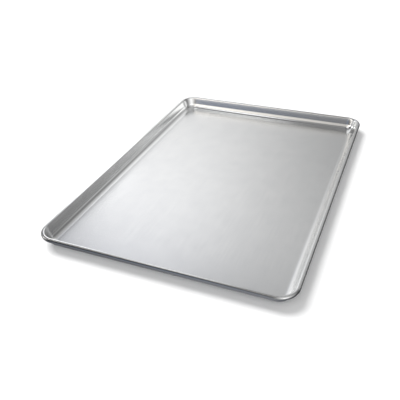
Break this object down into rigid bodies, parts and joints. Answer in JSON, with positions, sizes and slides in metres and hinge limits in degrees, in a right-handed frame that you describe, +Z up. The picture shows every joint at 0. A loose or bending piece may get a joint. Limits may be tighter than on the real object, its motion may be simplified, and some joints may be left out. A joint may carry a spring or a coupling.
{
  "type": "sheet pan",
  "caption": "Shallow rectangular baking tray of bare aluminium with a coved floor, flared walls, rounded corners and a rim rolled over a wire, for baking and carrying food.",
  "frame": {"origin": "middle of the flat underside that the pan stands on", "axes": "+Z up out of the pan, +Y along its long sides, +X along its short sides"},
  "size_m": [0.454, 0.657, 0.0254],
  "materials": {
    "aluminium_sheet": "bare rolled sheet, satin, with a fine grain along the pan",
    "galvanised_wire": "dull zinc coating"
  },
  "bodies": {
    "root": {"pan_shell": "aluminium_sheet", "rim_wire": "galvanised_wire"}
  },
  "joints": []
}
